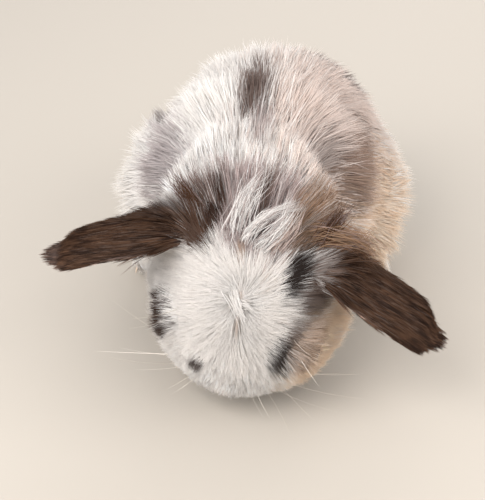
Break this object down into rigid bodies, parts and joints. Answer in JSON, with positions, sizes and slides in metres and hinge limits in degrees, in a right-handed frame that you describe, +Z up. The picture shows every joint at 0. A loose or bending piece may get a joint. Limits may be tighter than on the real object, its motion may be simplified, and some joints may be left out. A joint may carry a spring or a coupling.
{
  "type": "young lop rabbit, life-size model",
  "caption": "Still life-size model of a young fluffy lop-eared rabbit, crouched with its head lowered to sniff the ground and its ears out to the sides.",
  "frame": {"origin": "on the ground, under the middle of the bounding box", "axes": "+Z up, -Y the way the rabbit faces, +X the rabbit's own left"},
  "size_m": [0.1272, 0.1668, 0.0903],
  "materials": {
    "light_coat": "soft white fur, with grey-brown patches",
    "dark_coat": "soft chocolate brown fur",
    "eye": "wet, dark brown",
    "claw": "satin horn",
    "bare_skin": "damp pink skin of nose and lid rims",
    "whisker": "translucent hair"
  },
  "bodies": {
    "root": {"ear_left": "dark_coat", "ear_right": "dark_coat", "eye_left": "eye", "eye_right": "eye", "foreleg_left": "light_coat", "foreleg_left_claw_1": "claw", "foreleg_left_claw_2": "claw", "foreleg_left_claw_3": "claw", "foreleg_left_claw_4": "claw", "foreleg_right": "light_coat", "foreleg_right_claw_1": "claw", "foreleg_right_claw_2": "claw", "foreleg_right_claw_3": "claw", "foreleg_right_claw_4": "claw", "head": "light_coat", "hind_foot_left": "light_coat", "hind_foot_left_claw_1": "claw", "hind_foot_left_claw_2": "claw", "hind_foot_left_claw_3": "claw", "hind_foot_left_claw_4": "claw", "hind_foot_right": "light_coat", "hind_foot_right_claw_1": "claw", "hind_foot_right_claw_2": "claw", "hind_foot_right_claw_3": "claw", "hind_foot_right_claw_4": "claw", "neck": "light_coat", "tail": "dark_coat", "thigh_left": "light_coat", "thigh_right": "light_coat", "trunk": "light_coat"}
  },
  "joints": []
}
